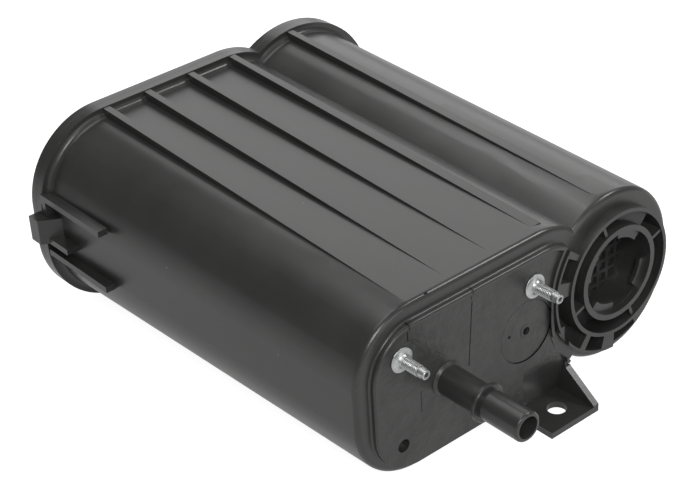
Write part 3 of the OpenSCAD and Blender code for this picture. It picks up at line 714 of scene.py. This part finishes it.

# %% [markdown]
# Zinc on the studs
#
# Bright zinc is a pale metal with a slightly uneven, cloudy shine. The roots of the thread get painted shade.
# It could be painted on by hand, but it follows the form, so the colour is worked out from the distance to
# the stud's axis. Past the thread the point has no painted shade, apart from the hollow in its end.

# %% Bright zinc
ZINC_DARK = (0.4, 0.41, 0.41)
ZINC_PALE = (0.52, 0.53, 0.53)
# Painted shade: the thread roots and the hollow in the point's end take this tone.
ROOT_SHADE_TONE = (0.07, 0.07, 0.07)
HOLLOW_R = 1.3 * MM
ZINC_GLOSS = (0.34, 0.5)
zinc, tree, shader, place = start_finish("bright_zinc", metallic=1.0)
grain = place_group(tree, surface_grain, -700, 200, place, Grain_Scale=2600.0, Tone_Scale=420.0)
bare_zinc = blend(tree, -250, 200, spread(tree, -450, 200, grain["Tone"]), ZINC_DARK, ZINC_PALE)
axes = add_node(tree, "ShaderNodeSeparateXYZ", -900, -300)
tree.links.new(place, axes.inputs[0])
x, y, z = axes.outputs
aside = math_step(tree, "ABSOLUTE", -750, -300, x)
aside = math_step(tree, "SUBTRACT", -600, -300, aside, stud_gap / 2)
radius = from_axis(tree, -450, -300, aside, z)
# Painted shade follows the form: dark in the thread roots, pale on the crests and on the point, dark again in
# its hollow.
crest = spread(tree, 0, -350, radius, from_low=ROOT_R, from_high=THREAD_R)
past_thread = math_step(tree, "LESS_THAN", 0, -550, y, -THREAD_TO)
off_hollow = math_step(tree, "GREATER_THAN", 0, -700, radius, HOLLOW_R)
unshaded_point = math_step(tree, "MULTIPLY", 75, -620, past_thread, off_hollow)
crest = math_step(tree, "MAXIMUM", 150, -450, crest, unshaded_point)
tree.links.new(blend(tree, 300, 200, crest, ROOT_SHADE_TONE, bare_zinc), shader.inputs["Base Color"])
tree.links.new(spread(tree, -250, -50, grain["Grain"], *ZINC_GLOSS), shader.inputs["Roughness"])
bumped(tree, shader, grain["Grain"], strength=0.2, distance=0.05 * MM)
studs.data.materials.clear()
studs.data.materials.append(zinc)
print("finish", zinc.name)

# %% [markdown]
# The filling
#
# Inside are fleece filters, beds of carbon granules, slotted plates and springs. None of it can be seen
# while the canister is shut, and plain colours would do for a picture. Each piece still has its own finish,
# so that a cut through the model looks right.


# %% Fleece, plates and springs
def grained_finish(name, scales, follows, dark, pale, strength, distance, **plain):
    """Makes a finish whose colour follows the grain or the tone, with the grain as its bump."""
    finish, tree, shader, place = start_finish(name, **plain)
    grain = place_group(tree, surface_grain, -700, 200, place, Grain_Scale=scales[0], Tone_Scale=scales[1])
    colour = blend(tree, -250, 200, spread(tree, -450, 200, grain[follows]), dark, pale)
    tree.links.new(colour, shader.inputs["Base Color"])
    bumped(tree, shader, grain["Grain"], strength, distance)
    return finish


fleece = grained_finish(
    "pressed_fleece", scales=(900.0, 60.0), follows="Grain", dark=(0.03, 0.03, 0.029),
    pale=(0.062, 0.061, 0.058), strength=0.7, distance=0.4 * MM, roughness=0.9, specular=0.2)
plate_nylon = grained_finish(
    "plate_nylon", scales=(1200.0, 40.0), follows="Tone", dark=(0.05, 0.052, 0.055),
    pale=(0.08, 0.083, 0.088), strength=0.3, distance=0.1 * MM)
wire = grained_finish(
    "spring_wire", scales=(3000.0, 300.0), follows="Tone", dark=(0.34, 0.35, 0.37),
    pale=(0.5, 0.5, 0.52), strength=0.25, distance=0.05 * MM, roughness=0.35, metallic=1.0)
print("finishes", fleece.name, plate_nylon.name, wire.name)

# %% Carbon, and a finish for every CAD node
# Painted shade: each granule darkens towards its edge, so the gaps between granules look shaded.
GRANULE_TONE = (0.03, 0.03, 0.031)
GAP_SHADE_TONE = (0.004, 0.004, 0.004)
carbon, tree, shader, place = start_finish("carbon_granules", roughness=0.65, specular=0.35)
granules = add_node(tree, "ShaderNodeTexVoronoi", -700, 100)
granules.inputs["Scale"].default_value = 420
tree.links.new(place, granules.inputs["Vector"])
colour = blend(tree, -250, 200, granules.outputs["Distance"], GRANULE_TONE, GAP_SHADE_TONE)
tree.links.new(colour, shader.inputs["Base Color"])
bumped(tree, shader, granules.outputs["Distance"], strength=0.8, distance=1.2 * MM)
slot_finish = {"moulding": nylon, "zinc": zinc, "fleece": fleece, "carbon": carbon,
               "plate": plate_nylon, "spring_steel": wire}
for entry in frame["record"]["subparts"]:
    node = nodes[entry["node"]]
    node.data.materials.clear()
    node.data.materials.append(slot_finish[entry["material_slot"]])
print("finishes on", len(nodes), "CAD nodes")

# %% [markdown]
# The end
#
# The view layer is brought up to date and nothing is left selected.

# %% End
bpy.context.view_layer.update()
start_clean()
